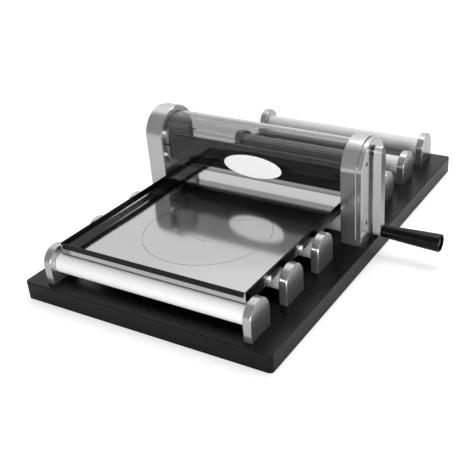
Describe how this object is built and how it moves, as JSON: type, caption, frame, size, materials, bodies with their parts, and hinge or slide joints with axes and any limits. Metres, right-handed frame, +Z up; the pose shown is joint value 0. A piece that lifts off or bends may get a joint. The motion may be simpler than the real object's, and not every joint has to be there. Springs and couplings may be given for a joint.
{
  "type": "die cutting machine",
  "caption": "Hand-cranked roller die cutting press: arched end frames with a smoked hood over the press rollers, conveyor rollers, a sliding polished tray and a crank.",
  "frame": {"origin": "middle of the board's underside", "axes": "+X along the rollers towards the crank, +Y from the feed side to the far side, +Z up"},
  "size_m": [0.6956, 0.919, 0.2556],
  "materials": {
    "black_laminate": "black laminate on board, satin",
    "satin_aluminium": "machined and brushed",
    "smoked_sheet": "smoked clear sheet, polished",
    "bright_plating": "bright nickel plate",
    "black_fasteners": "black oxide",
    "dark_roller_steel": "blackened and polished",
    "ground_steel": "ground",
    "gear_steel": "cut and oiled",
    "sintered_iron": "sintered and oiled",
    "pale_tube": "smooth pale tube",
    "pale_roller_steel": "steel with a smooth pale coat",
    "pale_nylon": "moulded",
    "polished_steel": "mirror polished, lightly scratched",
    "black_extrusion": "glossy black",
    "black_grip": "moulded, satin gloss"
  },
  "bodies": {
    "base": {"base_board": "black_laminate", "left_frame_plate": "satin_aluminium", "right_frame_plate": "satin_aluminium", "left_cover_plate": "satin_aluminium", "right_cover_plate": "satin_aluminium", "roller_bracket_1_left": "satin_aluminium", "roller_bracket_1_right": "satin_aluminium", "roller_bracket_2_left": "satin_aluminium", "roller_bracket_2_right": "satin_aluminium", "roller_bracket_3_left": "satin_aluminium", "roller_bracket_3_right": "satin_aluminium", "roller_bracket_4_left": "satin_aluminium", "roller_bracket_4_right": "satin_aluminium", "roller_bracket_5_left": "satin_aluminium", "roller_bracket_5_right": "satin_aluminium", "roller_bracket_6_left": "satin_aluminium", "roller_bracket_6_right": "satin_aluminium", "hood": "smoked_sheet", "hood_clip": "bright_plating", "hood_screws": "bright_plating", "cover_screws": "black_fasteners", "hood_pins": "black_fasteners", "frame_bolts": "black_fasteners", "bracket_bolts": "black_fasteners", "roller_axle_1": "ground_steel", "roller_axle_2": "ground_steel", "roller_axle_3": "ground_steel", "roller_axle_4": "ground_steel", "roller_axle_5": "ground_steel", "roller_axle_6": "ground_steel", "press_bushes": "sintered_iron", "crank_bushes": "sintered_iron"},
    "upper_roller": {"upper_press_roller": "dark_roller_steel", "drive_gear": "gear_steel", "drive_gear_key": "gear_steel"},
    "lower_roller": {"lower_press_roller": "pale_roller_steel"},
    "crank": {"crank_shaft": "ground_steel", "crank_pinion": "gear_steel", "crank_pinion_key": "gear_steel", "crank_arm": "satin_aluminium", "crank_set_screw": "black_fasteners", "grip_spindle": "ground_steel"},
    "grip": {"hand_grip": "black_grip"},
    "tray": {"tray_pan": "polished_steel", "tray_rail_left": "black_extrusion", "tray_rail_right": "black_extrusion", "tray_trim_front": "black_extrusion", "tray_trim_rear": "black_extrusion"},
    "conveyor_roller_1": {"roller_tube_1": "pale_tube", "roller_bushes_1": "pale_nylon"},
    "conveyor_roller_2": {"roller_tube_2": "pale_tube", "roller_bushes_2": "pale_nylon"},
    "conveyor_roller_3": {"roller_tube_3": "pale_tube", "roller_bushes_3": "pale_nylon"},
    "conveyor_roller_4": {"roller_tube_4": "pale_tube", "roller_bushes_4": "pale_nylon"},
    "conveyor_roller_5": {"roller_tube_5": "pale_tube", "roller_bushes_5": "pale_nylon"},
    "conveyor_roller_6": {"roller_tube_6": "pale_tube", "roller_bushes_6": "pale_nylon"}
  },
  "joints": [
    {"name": "upper_roller_spin", "type": "hinge", "parent": "base", "child": "upper_roller", "pos_m": [0, 0, 0.15715], "axis": [1, 0, 0], "continuous": true},
    {"name": "lower_roller_spin", "type": "hinge", "parent": "base", "child": "lower_roller", "pos_m": [0, 0, 0.06315], "axis": [1, 0, 0], "continuous": true},
    {"name": "crank_turn", "type": "hinge", "parent": "base", "child": "crank", "pos_m": [0.278, 0, 0.22915], "axis": [1, 0, 0], "continuous": true},
    {"name": "grip_spin", "type": "hinge", "parent": "crank", "child": "grip", "pos_m": [0.3514, 0, 0.0509], "axis": [1, 0, 0], "continuous": true},
    {"name": "tray_slide", "type": "slide", "parent": "base", "child": "tray", "axis": [0, 1, 0], "range_m": [0, 0.311]},
    {"name": "conveyor_roller_1_spin", "type": "hinge", "parent": "base", "child": "conveyor_roller_1", "pos_m": [0, -0.411, 0.0727], "axis": [1, 0, 0], "continuous": true},
    {"name": "conveyor_roller_2_spin", "type": "hinge", "parent": "base", "child": "conveyor_roller_2", "pos_m": [0, -0.285, 0.0727], "axis": [1, 0, 0], "continuous": true},
    {"name": "conveyor_roller_3_spin", "type": "hinge", "parent": "base", "child": "conveyor_roller_3", "pos_m": [0, -0.159, 0.0727], "axis": [1, 0, 0], "continuous": true},
    {"name": "conveyor_roller_4_spin", "type": "hinge", "parent": "base", "child": "conveyor_roller_4", "pos_m": [0, 0.159, 0.0727], "axis": [1, 0, 0], "continuous": true},
    {"name": "conveyor_roller_5_spin", "type": "hinge", "parent": "base", "child": "conveyor_roller_5", "pos_m": [0, 0.285, 0.0727], "axis": [1, 0, 0], "continuous": true},
    {"name": "conveyor_roller_6_spin", "type": "hinge", "parent": "base", "child": "conveyor_roller_6", "pos_m": [0, 0.411, 0.0727], "axis": [1, 0, 0], "continuous": true}
  ],
  "couplings": [
    {"joint": "crank_turn", "follows": "upper_roller_spin", "ratio": -3}
  ]
}
